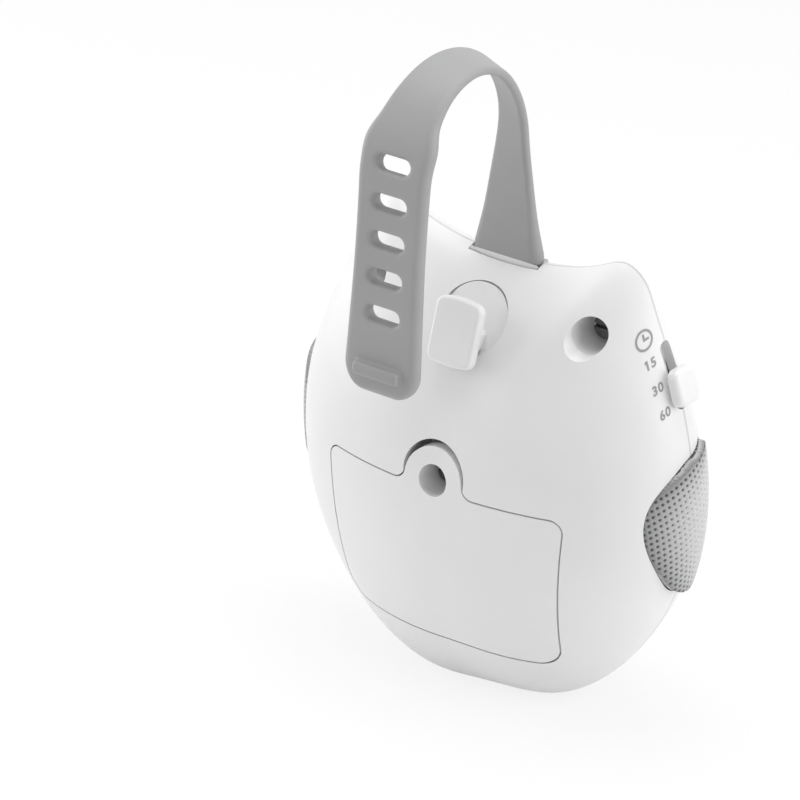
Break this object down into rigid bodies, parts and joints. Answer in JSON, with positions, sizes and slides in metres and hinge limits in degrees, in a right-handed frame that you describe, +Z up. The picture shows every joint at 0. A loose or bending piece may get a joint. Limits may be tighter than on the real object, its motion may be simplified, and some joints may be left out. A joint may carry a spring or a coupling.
{
  "type": "sleep soother",
  "caption": "Portable battery sleep soother: pillow-shaped housing with ear tips, side speakers under knit, timer slider, screwed battery door and a slotted soft strap that hooks on a stud.",
  "frame": {"origin": "middle of the flat base, on the plane where the two shells part", "axes": "+Z up through the ears, +Y out of the back with the battery door, +X to the right seen from the front"},
  "size_m": [0.098, 0.07, 0.1412],
  "materials": {
    "shell": "satin",
    "stud": "satin",
    "slider": "satin",
    "buttons": "satin",
    "strap": "soft matt",
    "knit": "knitted",
    "grille": "matt",
    "screw_steel": "zinc plated",
    "cell_jacket": "satin sleeve",
    "contact_metal": "nickel plated",
    "speaker_frame": "satin",
    "magnet": "plated",
    "cone": "matt film",
    "board": "varnished",
    "switch_body": "matt"
  },
  "bodies": {
    "housing": {"rear_shell": "shell", "front_shell": "shell", "strap_stud": "stud", "strap_anchor": "strap", "wing_mesh_right": "knit", "wing_mesh_left": "knit", "wing_grille_right": "grille", "wing_grille_left": "grille", "timer_bezel": "grille", "shell_screws": "screw_steel", "board_screws": "screw_steel", "stud_screw": "screw_steel", "battery_cell_1": "cell_jacket", "battery_cell_2": "cell_jacket", "battery_cell_3": "cell_jacket", "contact_double_right": "contact_metal", "contact_single_right": "contact_metal", "contact_single_left": "contact_metal", "contact_double_left": "contact_metal", "speaker_basket_right": "speaker_frame", "speaker_basket_left": "speaker_frame", "speaker_magnet_right": "magnet", "speaker_magnet_left": "magnet", "speaker_cone_right": "cone", "speaker_cone_left": "cone", "circuit_board": "board", "button_switches": "switch_body", "timer_switch": "switch_body"},
    "door": {"battery_door": "shell", "door_screw": "screw_steel"},
    "strap": {"strap": "strap"},
    "timer": {"timer_slider": "slider"},
    "play": {"play_button": "buttons"},
    "sound": {"sound_button": "buttons"},
    "volume_up": {"volume_up_button": "buttons"},
    "volume_down": {"volume_down_button": "buttons"}
  },
  "joints": [
    {"name": "door_lift", "type": "slide", "parent": "housing", "child": "door", "axis": [0, 1, 0], "range_m": [0, 0.03]},
    {"name": "strap_lean", "type": "hinge", "parent": "housing", "child": "strap", "pos_m": [0, 0, 0.0945], "axis": [1, 0, 0], "range_deg": [-15, 45], "stiffness_Nm_per_rad": 0.1},
    {"name": "timer_slide", "type": "slide", "parent": "housing", "child": "timer", "axis": [0.309, 0, 0.9511], "range_m": [-0.0028, 0.0076]},
    {"name": "play_push", "type": "slide", "parent": "housing", "child": "play", "axis": [0, 1, 0], "range_m": [0, 0.0007], "stiffness_N_per_m": 1500},
    {"name": "sound_push", "type": "slide", "parent": "housing", "child": "sound", "axis": [0, 1, 0], "range_m": [0, 0.0007], "stiffness_N_per_m": 1500},
    {"name": "volume_up_push", "type": "slide", "parent": "housing", "child": "volume_up", "axis": [0, 1, 0], "range_m": [0, 0.0007], "stiffness_N_per_m": 1500},
    {"name": "volume_down_push", "type": "slide", "parent": "housing", "child": "volume_down", "axis": [0, 1, 0], "range_m": [0, 0.0007], "stiffness_N_per_m": 1500}
  ]
}
